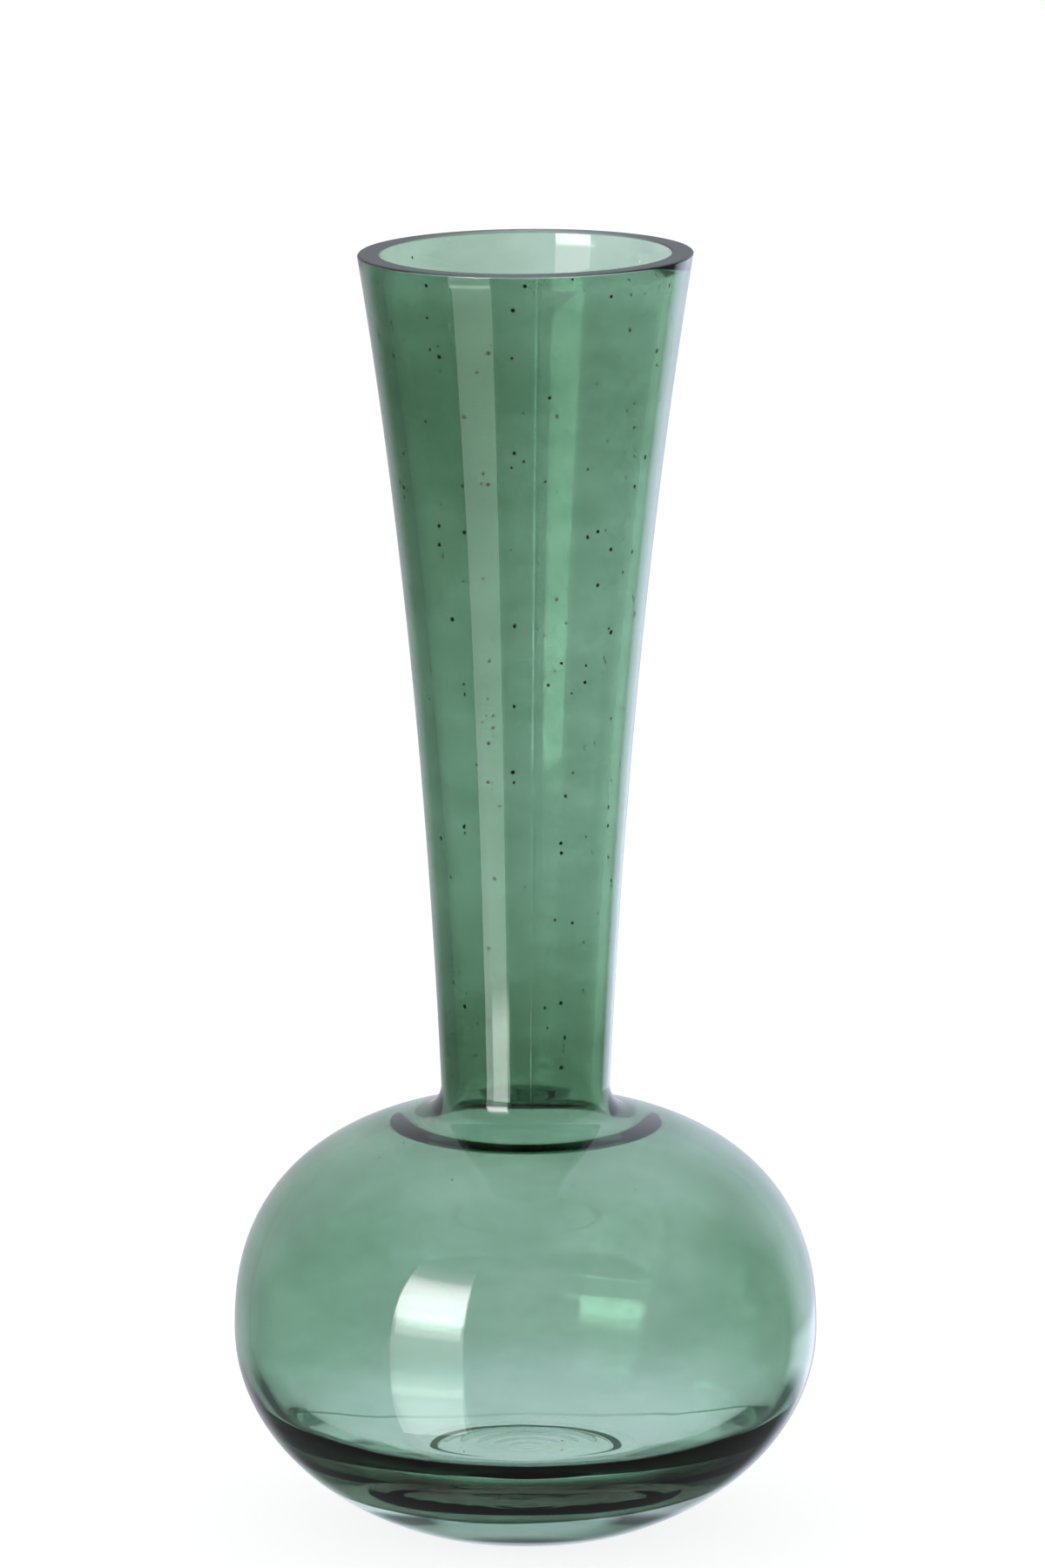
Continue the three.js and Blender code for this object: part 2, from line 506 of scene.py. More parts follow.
@dataclass
class VaseProfile:
    """Rings of the glass and of the coat, worked out from the sizes."""

    sizes: VaseSizes
    belly_steps: int = 44
    punt_steps: int = 26
    punt_edge_steps: int = 8
    bevel_steps: int = 4
    ring_shares: tuple[float, ...] = (0.1, 0.5, 0.9)  # across the standing ring
    face_shares: tuple[float, ...] = (0.03, 0.5, 0.97)  # across the rim's flat face
    seam_heights: Pair = (92.0, 104.0)  # the seam's ridge rises between them
    outer_wobble: float = 0.12
    calm_heights: Pair = (60.0, 110.0)  # the inside gets more even between them
    calm_share: float = 0.85

    def belly(self) -> QuarterCurve:
        """Works out the outside from the standing ring to the widest line.

        Returns:
            The curve, which reaches the table at the ring's radius.
        """
        s = self.sizes
        share = 1 - (s.standing_ring_radius / s.body_radius) ** s.belly_fullness
        drop = s.widest_height / share ** (1 / s.belly_fullness)
        return QuarterCurve(s.body_radius, s.widest_height, -drop, s.belly_fullness)

    def upper_outside(self) -> list[Pair]:
        """The outside from the widest line to the rim's bevel."""
        s = self.sizes
        return WallLine(
            s.body_radius,
            s.widest_height,
            s.shoulder_top,
            s.shoulder_fullness,
            s.neck_root_radius,
            s.neck_root_fillet,
            s.neck_root_lean,
            s.rim_radius,
            s.rim_lean,
            s.height - s.rim_bevel,
        ).points()

    def upper_inside(self) -> list[Pair]:
        """The inside from its widest line to the rim's bevel."""
        s = self.sizes
        return WallLine(
            s.body_radius - s.body_wall,
            s.widest_height,
            s.shoulder_top - s.shoulder_wall,
            s.shoulder_fullness,
            s.neck_root_radius - s.neck_root_wall,
            s.inner_shoulder_fillet,
            s.neck_root_lean,
            s.rim_radius - s.rim_wall,
            s.rim_lean,
            s.height - s.rim_bevel,
            ledge=s.inner_shoulder_ledge,
        ).points()

    def underside(self) -> list[Ring]:
        """Works out the hollow under the base and the flat ring round it.

        Returns:
            Their rings, from the axis outwards.
        """
        s = self.sizes
        rings = []
        for i in range(self.punt_steps + 1):
            share = i / self.punt_steps
            z = s.punt_depth - (s.punt_depth - s.punt_edge_rise) * share**2
            rings.append(Ring(s.punt_edge_radius * share, z, ripple=1.0))
        inner = s.standing_ring_radius - s.standing_ring_width
        for i in range(1, self.punt_edge_steps + 1):
            share = i / self.punt_edge_steps
            r = s.punt_edge_radius + (inner - s.punt_edge_radius) * share
            z = s.punt_edge_rise * (1 - share) ** 2 * (1 + share)
            rings.append(Ring(r, z, ripple=1 - share))
        for share in self.ring_shares:
            rings.append(Ring(inner + s.standing_ring_width * share, 0.0))
        return rings

    def rim(self) -> list[Ring]:
        """Works out the ground face and its two small round bevels.

        Returns:
            Their rings, from the outside in.
        """
        s = self.sizes
        bevel, quarter = s.rim_bevel, math.pi / 2
        low = s.height - bevel
        outer, inner = s.rim_radius - bevel, s.rim_radius - s.rim_wall + bevel
        points = arc_points((outer, low), bevel, 0.0, quarter, self.bevel_steps)
        points += [(outer + (inner - outer) * share, s.height) for share in self.face_shares]
        points += arc_points((inner, low), bevel, math.pi, quarter, self.bevel_steps)[::-1]
        return [Ring(r, z, skin=Skin.GROUND) for r, z in points]

    def outside(self, from_height: float) -> list[Ring]:
        """Works out the outside up to the rim's bevel.

        Args:
            from_height: where it starts on the belly.

        Returns:
            Its rings.
        """
        belly = self.belly()
        start = belly.angle_at(from_height)
        points = belly.sample(start, 0.0, self.belly_steps) + self.upper_outside()[1:]
        return [
            Ring(r, z, seam=risen(z, self.seam_heights), wobble=self.outer_wobble)
            for r, z in points
        ]

    def glass(self) -> list[Ring]:
        """Works out the whole glass.

        Returns:
            Its rings, from the middle of the underside round to the middle of the floor.
        """
        s = self.sizes
        floor = HollowFloor(
            self.belly(),
            s.body_wall,
            s.foot_wall,
            s.base_thickness,
            s.dish_rise,
            s.dish_radius,
            s.dish_fullness,
            s.floor_corner,
        )
        inside = floor.points() + self.upper_inside()[1:]
        inner = [
            Ring(r, z, wobble=1.0 - self.calm_share * risen(z, self.calm_heights))
            for r, z in reversed(inside)
        ]
        return with_directions(self.underside() + self.outside(0.0) + self.rim() + inner)

    def coat(self) -> list[Ring]:
        """Works out the film.

        Returns:
            Its rings, up its outer skin and down its inner one to where they start.
        """
        s = self.sizes
        outside = with_directions(self.outside(s.coat_start_height))
        outer = inset(outside, s.coat_depth)
        inner = inset(outside, s.coat_depth + s.coat_thickness)
        return outer + inner[::-1] + outer[:1]


def with_directions(rings: list[Ring]) -> list[Ring]:
    """Works out which way is out of the glass at each ring.

    Args:
        rings: rings in order, with the glass on their left as they climb.

    Returns:
        The rings with their directions.
    """
    directed = []
    for i, ring in enumerate(rings):
        before, after = rings[max(i - 1, 0)], rings[min(i + 1, len(rings) - 1)]
        length = math.hypot(after.r - before.r, after.z - before.z)
        out = ((after.z - before.z) / length, -(after.r - before.r) / length)
        directed.append(replace(ring, out=out))
    return directed


def inset(rings: list[Ring], depth: float) -> list[Ring]:
    """Moves rings into the glass, square to the surface.

    Args:
        rings: rings with their directions.
        depth: how far, in millimetres.

    Returns:
        New rings with the same marks and directions.
    """
    return [replace(g, r=g.r - g.out[0] * depth, z=g.z - g.out[1] * depth) for g in rings]


# Turning


@dataclass
class Turning:
    """A Geometry Nodes tree that turns a profile about the Z axis.

    Its sizes, from top to seed, are the tree's inputs of the same names. Columns crowd together at
    the two mould seams, which lie opposite each other, so that their fine ridges have enough faces.
    """

    top: float  # height of the vase, in metres
    columns: int = 256
    crowding: float = 0.82
    seam_turn: float = math.radians(-90 + 4.3)  # the front seam, from +X
    seam_height: float = 0.12 * MM
    seam_width: float = 0.35 * MM
    wobble_height: float = 0.22 * MM
    wobble_size: float = 34 * MM
    wobble_detail: float = 1.5
    wobble_roughness: float = 0.4
    ripple_height: float = 0.05 * MM
    ripple_length: float = 4.2 * MM
    ripple_wander: float = 9 * MM
    bore_shift: float = -0.7 * MM
    bore_power: float = 3.0  # of the height, by which the shift grows
    rim_tilt: float = math.radians(0.5)
    tilt_power: float = 24.0  # the same for the tilt
    ground_share: float = 0.6  # share of a face's corners above which it is ground
    weld: float = 0.0002 * MM  # vertices nearer than this are joined
    seed: float = 4.7
    tree: Tree | None = field(default=None, init=False)

    def build(self, name: str) -> None:
        """Builds the tree, whose inputs are the profile, the sizes above and two materials.

        Args:
            name: the tree's name.
        """
        tree = bpy.data.node_groups.new(name, "GeometryNodeTree")
        self.tree = tree
        tree.interface.new_socket("Profile", in_out="INPUT", socket_type="NodeSocketGeometry")
        for size in fields(self):
            if size.init:
                label = size.name.replace("_", " ").capitalize()
                kind = "NodeSocketInt" if size.type is int else "NodeSocketFloat"
                item = tree.interface.new_socket(label, in_out="INPUT", socket_type=kind)
                item.default_value = getattr(self, size.name)
        for label in ("Polished", "Ground"):
            tree.interface.new_socket(label, in_out="INPUT", socket_type="NodeSocketMaterial")
        tree.interface.new_socket("Turned", in_out="OUTPUT", socket_type="NodeSocketGeometry")
        self._wire(tree, tree.nodes.new("NodeGroupInput").outputs)

    def _wire(self, tree: Tree, given: object) -> None:
        """Adds and links the nodes.

        Args:
            tree: the tree.
            given: the group's inputs, by name.
        """
        profile, columns = given["Profile"], given["Columns"]
        rings = add(tree, "GeometryNodeAttributeDomainSize", profile)
        more = add(tree, MATH, columns, 1.0, operation="ADD")
        grid = add(
            tree, "GeometryNodeMeshGrid", Size_X=1.0, Size_Y=1.0, Vertices_X=more, Vertices_Y=rings
        )
        index = add(tree, "GeometryNodeInputIndex")
        column = add(tree, MATH, index, rings, operation="DIVIDE")
        column = add(tree, MATH, column, operation="FLOOR")
        before = add(tree, MATH, column, rings, operation="MULTIPLY")
        ring = add(tree, MATH, index, before, operation="SUBTRACT")

        # The turn of each column: even, less a swing that crowds both seams
        even = add(tree, MATH, column, columns, operation="DIVIDE")
        even = add(tree, MATH, even, 2 * math.pi, operation="MULTIPLY")
        swing = add(tree, MATH, even, given["Seam turn"], operation="SUBTRACT")
        swing = add(tree, MATH, swing, 2.0, operation="MULTIPLY")
        swing = add(tree, MATH, swing, operation="SINE")
        for factor in (given["Crowding"], 0.5):
            swing = add(tree, MATH, swing, factor, operation="MULTIPLY")
        turn = add(tree, MATH, even, swing, operation="SUBTRACT")
        cosine, sine = (add(tree, MATH, turn, operation=name) for name in ("COSINE", "SINE"))

        def sampled(name: str, kind: str = "FLOAT_VECTOR") -> Socket:
            """Reads an attribute of the profile.

            Args:
                name: the attribute's name.
                kind: its data type.

            Returns:
                Its value at this vertex's ring.
            """
            value = add(tree, "GeometryNodeInputNamedAttribute", data_type=kind, Name=name)
            sample = {"data_type": kind, "domain": "POINT"}
            return add(
                tree, "GeometryNodeSampleIndex", Geometry=profile, Value=value, Index=ring, **sample
            )

        place, out, marks = (sampled(name) for name in ("place", "out", "marks"))
        r, z = (add(tree, SEPARATE, place, output=axis) for axis in "XZ")
        out_r, out_z = (add(tree, SEPARATE, out, output=axis) for axis in "XZ")
        seam_mark, wobble_mark, ripple_mark = (
            add(tree, SEPARATE, marks, output=axis) for axis in "XYZ"
        )
        x = add(tree, MATH, r, cosine, operation="MULTIPLY")
        y = add(tree, MATH, r, sine, operation="MULTIPLY")
        spot = add(tree, "ShaderNodeCombineXYZ", x, y, z)

        # The seam's ridge, a narrow bell across the two seams
        across = add(tree, MATH, turn, given["Seam turn"], operation="SUBTRACT")
        across = add(tree, MATH, across, operation="SINE")
        across = add(tree, MATH, r, across, operation="MULTIPLY")
        bell = add(tree, MATH, across, given["Seam width"], operation="DIVIDE")
        bell = add(tree, MATH, bell, 2.0, operation="POWER")
        bell = add(tree, MATH, bell, -1.0, operation="MULTIPLY")
        ridge = add(tree, MATH, bell, operation="EXPONENT")
        for factor in (given["Seam height"], seam_mark):
            ridge = add(tree, MATH, ridge, factor, operation="MULTIPLY")

        # The slow unevenness of blown glass
        scale = add(tree, MATH, 1.0, given["Wobble size"], operation="DIVIDE")
        scaled = add(tree, VECTOR_MATH, operation="SCALE", Vector=spot, Scale=scale)
        shifted = add(tree, VECTOR_MATH, scaled, given["Seed"], operation="ADD")
        looks = {"Detail": given["Wobble detail"], "Roughness": given["Wobble roughness"]}
        noise = add(tree, NOISE, Vector=shifted, Scale=1.0, **looks)
        swell = add(tree, MATH, noise, 0.5, operation="SUBTRACT")
        wobble = swell
        for factor in (given["Wobble height"], 2.0, wobble_mark):
            wobble = add(tree, MATH, wobble, factor, operation="MULTIPLY")

        # Ripples of the base, rings that wander a little
        wander = add(tree, MATH, swell, given["Ripple wander"], operation="MULTIPLY")
        phase = add(tree, MATH, r, wander, operation="ADD")
        phase = add(tree, MATH, phase, given["Ripple length"], operation="DIVIDE")
        phase = add(tree, MATH, phase, 2 * math.pi, operation="MULTIPLY")
        ripple = add(tree, MATH, phase, operation="SINE")
        for factor in (given["Ripple height"], ripple_mark):
            ripple = add(tree, MATH, ripple, factor, operation="MULTIPLY")

        push = add(tree, MATH, ridge, wobble, operation="ADD")
        push = add(tree, MATH, push, ripple, operation="ADD")
        pushed_r = add(tree, MATH, push, out_r, r, operation="MULTIPLY_ADD")
        pushed_z = add(tree, MATH, push, out_z, z, operation="MULTIPLY_ADD")

        # High up, the bore lies off centre and the rim is cut a little out of level
        share = add(tree, MATH, z, given["Top"], operation="DIVIDE")
        bore = add(tree, MATH, share, given["Bore power"], operation="POWER")
        for factor in (given["Bore shift"], wobble_mark):
            bore = add(tree, MATH, bore, factor, operation="MULTIPLY")
        final_x = add(tree, MATH, pushed_r, cosine, bore, operation="MULTIPLY_ADD")
        final_y = add(tree, MATH, pushed_r, sine, operation="MULTIPLY")
        at_rim = add(tree, MATH, share, given["Tilt power"], operation="POWER")
        tilt = add(tree, MATH, given["Rim tilt"], operation="TANGENT")
        tilt = add(tree, MATH, final_x, tilt, operation="MULTIPLY")
        final_z = add(tree, MATH, tilt, at_rim, pushed_z, operation="MULTIPLY_ADD")
        where = add(tree, "ShaderNodeCombineXYZ", final_x, final_y, final_z)

        mark = {"data_type": "FLOAT", "domain": "POINT", "Name": "ground"}
        ground = sampled("ground", "FLOAT")
        marked = add(tree, "GeometryNodeStoreNamedAttribute", Geometry=grid, Value=ground, **mark)
        placed = add(tree, "GeometryNodeSetPosition", Geometry=marked, Position=where)
        closed = add(tree, "GeometryNodeMergeByDistance", Geometry=placed, Distance=given["Weld"])
        smooth = add(tree, "GeometryNodeSetShadeSmooth", Geometry=closed)
        real = add(tree, "GeometryNodeRealizeInstances", Geometry=smooth)
        polished = add(tree, "GeometryNodeSetMaterial", Geometry=real, Material=given["Polished"])
        ground = add(tree, "GeometryNodeInputNamedAttribute", data_type="FLOAT", Name="ground")
        ground = add(tree, MATH, ground, given["Ground share"], operation="GREATER_THAN")
        finish = {"Selection": ground, "Material": given["Ground"]}
        dressed = add(tree, "GeometryNodeSetMaterial", Geometry=polished, **finish)
        result = tree.nodes.new("NodeGroupOutput")
        tree.links.new(dressed, result.inputs["Turned"])

    def turn(
        self,
        name: str,
        rings: list[Ring],
        polished: bpy.types.Material,
        ground: bpy.types.Material,
    ) -> bpy.types.Object:
        """Turns a profile into a closed plain mesh.

        Args:
            name: the new piece's name.
            rings: its rings in order; the path closes on the axis or on itself.
            polished: finish of the polished rings.
            ground: finish of the ground rings.

        Returns:
            The piece, at the origin.
        """
        holder = bpy.data.objects.new(name + "_profile", profile_mesh(name + "_profile", rings))
        bpy.context.scene.collection.objects.link(holder)
        modifier = holder.modifiers.new("Turning", "NODES")
        modifier.node_group = self.tree
        finishes = {"Polished": polished, "Ground": ground}
        for item in self.tree.interface.items_tree:
            if item.name in finishes:
                modifier[item.identifier] = finishes[item.name]
        depsgraph = bpy.context.evaluated_depsgraph_get()
        depsgraph.update()
        mesh = bpy.data.meshes.new_from_object(holder.evaluated_get(depsgraph))
        holder.modifiers.remove(modifier)
        bpy.data.objects.remove(holder)
        return finished(name, mesh)


def profile_mesh(name: str, rings: list[Ring]) -> bpy.types.Mesh:
    """Makes a mesh of loose points that carries the rings.

    Args:
        name: the mesh's name.
        rings: the rings, in millimetres.

    Returns:
        The mesh, in metres, with the attributes that the turning reads.
    """
    mesh = bpy.data.meshes.new(name)
    mesh.from_pydata([(g.r * MM, 0.0, g.z * MM) for g in rings], [], [])
    vectors = {
        "place": [(g.r * MM, 0.0, g.z * MM) for g in rings],
        "out": [(g.out[0], 0.0, g.out[1]) for g in rings],
        "marks": [(g.seam, g.wobble, g.ripple) for g in rings],
    }
    for label, values in vectors.items():
        attribute = mesh.attributes.new(label, "FLOAT_VECTOR", "POINT")
        for item, value in zip(attribute.data, values):
            item.vector = value
    ground = mesh.attributes.new("ground", "FLOAT", "POINT")
    for item, ring in zip(ground.data, rings):
        item.value = float(ring.skin is Skin.GROUND)
    return mesh


def finished(name: str, mesh: bpy.types.Mesh) -> bpy.types.Object:
    """Puts a mesh in the scene with its faces pointing out, and logs whether it is closed.

    Args:
        name: the piece's name.
        mesh: its mesh.

    Returns:
        The piece.
    """
    shape = bmesh.new()
    shape.from_mesh(mesh)
    open_edges = sum(1 for e in shape.edges if not e.is_manifold)
    if shape.calc_volume(signed=True) < 0:
        bmesh.ops.reverse_faces(shape, faces=shape.faces)
    shape.to_mesh(mesh)
    volume = shape.calc_volume(signed=True)
    shape.free()
    mesh.name = name
    piece = bpy.data.objects.new(name, mesh)
    bpy.context.scene.collection.objects.link(piece)
    size = (len(mesh.polygons), open_edges, volume * MILLILITRES)
    LOG.info("%s: %d faces, %d open edges, %.1f ml", name, *size)
    return piece


# Finishes


def solid_glass(name: str, tint: str, ior: float, roughness: float) -> bpy.types.Material:
    """Makes a material of solid glass.

    Args:
        name: the material's name.
        tint: what its surface lets through, as sRGB hex digits.
        ior: its index of refraction.
        roughness: how much its surface scatters, 0 to 1.

    Returns:
        The material.
    """
    made = bpy.data.materials.new(name)
    made.use_nodes = True
    inputs = made.node_tree.nodes["Principled BSDF"].inputs
    inputs["Base Color"].default_value = (*linear(tint), 1.0)
    inputs["Roughness"].default_value = roughness
    inputs["IOR"].default_value = ior
    inputs["Transmission Weight"].default_value = 1.0
    return made


@dataclass(frozen=True)
class ClearGlass:
    """Soda-lime glass blown in a mould and fire-polished: clear, hard and very smooth."""

    tint: str = "fafcfb"
    ior: float = 1.5
    density: float = 10.0  # per metre; what a metre takes is this times 1 less the colour
    passes: str = "c4dada"

    def material(self) -> bpy.types.Material:
        """Builds the material.

        Returns:
            The material, which takes a little red over a long path.
        """
        made = solid_glass("clear_soda_lime_glass", self.tint, self.ior, 0.0)
        tree = made.node_tree
        colour = (*linear(self.passes), 1.0)
        body = add(tree, "ShaderNodeVolumeAbsorption", Color=colour, Density=self.density)
        tree.links.new(body, tree.nodes["Material Output"].inputs["Volume"])
        return made


@dataclass(frozen=True)
class GroundGlass:
    """The same glass cut flat and ground, then polished to a satin: it scatters a little."""

    # The grey of this tint is painted shade: it darkens the ground face beyond the clear glass
    tint: str = "a3a39c"
    ior: float = 1.5
    roughness: float = 0.4

    def material(self) -> bpy.types.Material:
        """Builds the material."""
        return solid_glass("ground_glass", self.tint, self.ior, self.roughness)


@dataclass(frozen=True)
class GreenLacquer:
    """Transparent green lacquer, sprayed: soft clouds of colour and a denser edge at the bottom.

    Heights and other lengths are in millimetres. A side is -1 on the left and 1 on the right, and
    a depth is -1 on the front and 1 on the back.
    """

    # Optical depth of one coat of strength 1 in red, green and blue, what a coat takes above that
    # while it is thinner than thin, and what it takes above that where it is thicker than thick
    absorb: Colour = (0.88, 0.65, 0.86)
    thin: float = 0.6
    absorb_thin: Colour = (0.24, 0.02, 0.05)
    thick: float = 1.6
    absorb_thick: Colour = (0.3, 0.95, 0.7)
    most: float = 4.0  # the greatest strength that the colour ramp holds
    tint_stops: int = 24

    # Strength of the film by height
    strengths: Stops = (
        (0, 0.03), (6, 0.05), (12, 0.12), (18, 0.2), (30, 0.5), (42, 0.56), (55, 0.62),
        (86, 0.58), (93, 0.62), (97, 0.95), (101, 1.25), (108, 1.38), (116, 1.38), (124, 1.2),
        (134, 1.05), (148, 0.9), (185, 0.88), (230, 1.0), (270, 1.22), (300, 1.0),
    )
    # How strong it is from side to side on the belly and on the neck, and how far each of those
    # holds by height
    belly_sides: Stops = (
        (-1.0, 1.3), (-0.7, 1.3), (-0.5, 1.22), (-0.35, 1.04),
        (0.0, 1.0), (0.6, 1.0), (0.8, 1.3), (1.0, 1.3),
    )
    belly_heights: Stops = ((26, 0.0), (36, 1.0), (84, 1.0), (92, 0.0))
    neck_sides: Stops = ((-1.0, 1.14), (-0.4, 1.12), (0.0, 0.93), (0.3, 0.8), (1.0, 0.8))
    neck_heights: Stops = ((96, 0.0), (112, 0.5), (180, 0.55), (215, 0.9), (240, 1.0))
    # How much of it is missing high up on the back, by height and by depth
    missing_heights: Stops = ((282, 0.0), (288, 0.24), (300, 0.24))
    missing_depths: Stops = ((0.0, 0.0), (0.3, 1.0))
    # Painted shade: extra film darkens the base just above the film's lower edge, on the front only,
    # a little lower in the middle
    gathered: Stops = (
        (6, 0.0), (11, 1.5), (17.5, 1.75), (20, 2.0), (24, 2.4), (26.3, 1.7), (28, 0.0),
    )
    painted_shade_depths: Stops = ((-1.0, 1.0), (-0.4, 1.0), (-0.1, 0.0))
    painted_shade_drop: Stops = ((-1.0, 3.0), (-0.8, 1.6), (-0.6, 0.0))

    cloud_size: float = 20.0
    cloud_width: float = 2.2  # how much wider than tall the clouds are
    cloud_depth: float = 0.3
    cloud_detail: float = 3.0
    cloud_roughness: float = 0.55

    # Height of the lower edge by depth, and how it wanders
    edge_heights: Stops = (
        (-1.0, 10.8), (-0.5, 12.5), (-0.3, 14.5), (-0.1, 21.5), (0.1, 16.8),
        (0.3, 12.0), (0.5, 6.4), (0.7, 3.7), (0.85, 2.2), (1.0, 1.7),
    )
    edge_wave: float = 0.9
    edge_waves: float = 28.0  # in a metre
    edge_detail: float = 1.0
    edge_tilt: float = 0.016  # rise of the edge towards the right
    edge_softness: Pair = (-0.2, 0.2)
    # How thick the bead along the edge is by depth, and where it ends above the edge
    beads: Stops = ((-1.0, 0.45), (0.4, 1.2), (0.75, 0.35), (1.0, 0.22))
    bead_end: Pair = (0.3, 1.2)

    speck_spacing: float = 2.8
    speck_size: float = 1.4  # a speck's greatest radius, were every chance the best
    speck_chance: float = 0.6  # share of the places that stay empty
    speck_strength: float = 2.4
    # Size of the specks by height: they are small on the belly
    speck_heights: Stops = ((0, 0.3), (85, 0.4), (110, 1.0), (300, 1.0))

    def material(self) -> bpy.types.Material:
        """Builds the material.

        Returns:
            The material of one skin of the film, which has half its tint.
        """
        made = bpy.data.materials.new("green_spray_lacquer")
        made.use_nodes = True
        tree = made.node_tree
        tree.nodes.clear()
        place = add(tree, "ShaderNodeTexCoord", output="Object")
        x, y, z = (add(tree, SEPARATE, place, output=axis) for axis in "XYZ")
        height = add(tree, MATH, z, MM, operation="DIVIDE")
        reach = add(tree, "ShaderNodeCombineXYZ", x, y)
        reach = add(tree, VECTOR_MATH, reach, operation="LENGTH", output="Value")
        side = add(tree, MATH, x, reach, operation="DIVIDE")
        depth = add(tree, MATH, y, reach, operation="DIVIDE")

        strength = self._strength(tree, height, side, depth)
        strength = add(tree, MATH, strength, self._clouds(tree, place), operation="MULTIPLY")
        above = self._above_edge(tree, place, x, height, depth)
        bead = add(tree, MAP_RANGE, above, *self.bead_end, 1.0, 0.0, **SOFTLY)
        bead = add(tree, MATH, bead, curve(tree, depth, self.beads), operation="MULTIPLY")
        strength = add(tree, MATH, strength, bead, operation="ADD")
        present = add(tree, MAP_RANGE, above, *self.edge_softness, **SOFTLY)
        strength = add(tree, MATH, strength, present, operation="MULTIPLY")
        strength = add(tree, MATH, strength, self._specks(tree, place, height), operation="ADD")

        share = add(tree, MATH, strength, self.most, operation="DIVIDE")
        tint = add(tree, "ShaderNodeValToRGB", share)
        self._fill_tints(tint.node.color_ramp)
        film = add(tree, "ShaderNodeBsdfTransparent", tint)
        add(tree, "ShaderNodeOutputMaterial", film)
        return made

    def _strength(self, tree: Tree, height: Socket, side: Socket, depth: Socket) -> Socket:
        """Adds the slow changes of the film over the vase, and a band of painted shade on the front
        of the base.

        Args:
            tree: the material's tree.
            height: height of the place.
            side: its side.
            depth: its depth.

        Returns:
            The film's strength.
        """
        strength = curve(tree, height, self.strengths)
        for heights, sides in (
            (self.belly_heights, self.belly_sides),
            (self.neck_heights, self.neck_sides),
        ):
            change = add(tree, MATH, curve(tree, side, sides), 1.0, operation="SUBTRACT")
            held = curve(tree, height, heights)
            change = add(tree, MATH, change, held, 1.0, operation="MULTIPLY_ADD")
            strength = add(tree, MATH, strength, change, operation="MULTIPLY")
        missing = curve(tree, height, self.missing_heights)
        behind = curve(tree, depth, self.missing_depths)
        missing = add(tree, MATH, missing, behind, operation="MULTIPLY")
        left = add(tree, MATH, 1.0, missing, operation="SUBTRACT")
        # Painted shade: a band of extra film that darkens the front of the base
        lowered = add(tree, MATH, height, curve(tree, depth, self.painted_shade_drop), operation="ADD")
        painted_shade = curve(tree, lowered, self.gathered)
        in_front = curve(tree, depth, self.painted_shade_depths)
        painted_shade = add(tree, MATH, painted_shade, in_front, operation="MULTIPLY")
        return add(tree, MATH, strength, left, painted_shade, operation="MULTIPLY_ADD")

    def _clouds(self, tree: Tree, place: Socket) -> Socket:
        """Adds the clouds of the spray, which are wider than tall.

        Args:
            tree: the material's tree.
            place: the place, in metres.

        Returns:
            A factor about 1.
        """
        stretched = add(tree, "ShaderNodeMapping", Vector=place, Scale=(1, 1, self.cloud_width))
        looks = {"Detail": self.cloud_detail, "Roughness": self.cloud_roughness}
        clouds = add(tree, NOISE, Vector=stretched, Scale=1 / (self.cloud_size * MM), **looks)
        clouds = add(tree, MATH, clouds, 0.5, operation="SUBTRACT")
        return add(tree, MATH, clouds, 2 * self.cloud_depth, 1.0, operation="MULTIPLY_ADD")

    def _above_edge(
        self, tree: Tree, place: Socket, x: Socket, height: Socket, depth: Socket
    ) -> Socket:
        """Adds how far a place is above the film's wandering lower edge.

        Args:
            tree: the material's tree.
            place: the place, in metres.
            x: its X, in metres.
            height: its height.
            depth: its depth.

        Returns:
            The distance, in millimetres, below 0 under the edge.
        """
        wander = add(tree, NOISE, Vector=place, Scale=self.edge_waves, Detail=self.edge_detail)
        wander = add(tree, MATH, wander, 0.5, operation="SUBTRACT")
        level = curve(tree, depth, self.edge_heights)
        edge = add(tree, MATH, wander, 2 * self.edge_wave, level, operation="MULTIPLY_ADD")
        edge = add(tree, MATH, x, self.edge_tilt / MM, edge, operation="MULTIPLY_ADD")
        return add(tree, MATH, height, edge, operation="SUBTRACT")

    def _specks(self, tree: Tree, place: Socket, height: Socket) -> Socket:
        """Adds fine dark specks of dust caught in the film.

        Args:
            tree: the material's tree.
            place: the place, in metres.
            height: its height.

        Returns:
            What they add to the film's strength.
        """
        scale = 1 / (self.speck_spacing * MM)
        cells = add(
            tree, "ShaderNodeTexVoronoi", Vector=place, Scale=scale, Randomness=1.0, output="Distance"
        )
        chance = add(tree, SEPARATE, pick_socket(cells.node.outputs, "Color"))
        size = add(tree, MATH, chance, self.speck_chance, operation="SUBTRACT")
        for factor in (self.speck_size, curve(tree, height, self.speck_heights)):
            size = add(tree, MATH, size, factor, operation="MULTIPLY")
        reach = add(tree, MATH, cells, self.speck_spacing, operation="MULTIPLY")
        speck = add(tree, MATH, reach, size, operation="LESS_THAN")
        return add(tree, MATH, speck, self.speck_strength, operation="MULTIPLY")

    def _fill_tints(self, ramp: bpy.types.ColorRamp) -> None:
        """Fills a colour ramp with what half a film of each strength lets through.

        Args:
            ramp: the ramp, from strength 0 to the greatest.
        """
        while len(ramp.elements) < self.tint_stops + 1:
            ramp.elements.new(0.5)
        for i, stop in enumerate(ramp.elements):
            stop.position = i / self.tint_stops
            half = self.most * stop.position / 2
            more = max(half - self.thick / 2, 0.0)
            less = min(half, self.thin / 2)
            rates = zip(self.absorb, self.absorb_thick, self.absorb_thin)
            takes = [a * half + b * more + c * less for a, b, c in rates]
            stop.color = (*(math.exp(-t) for t in takes), 1.0)


# Pieces


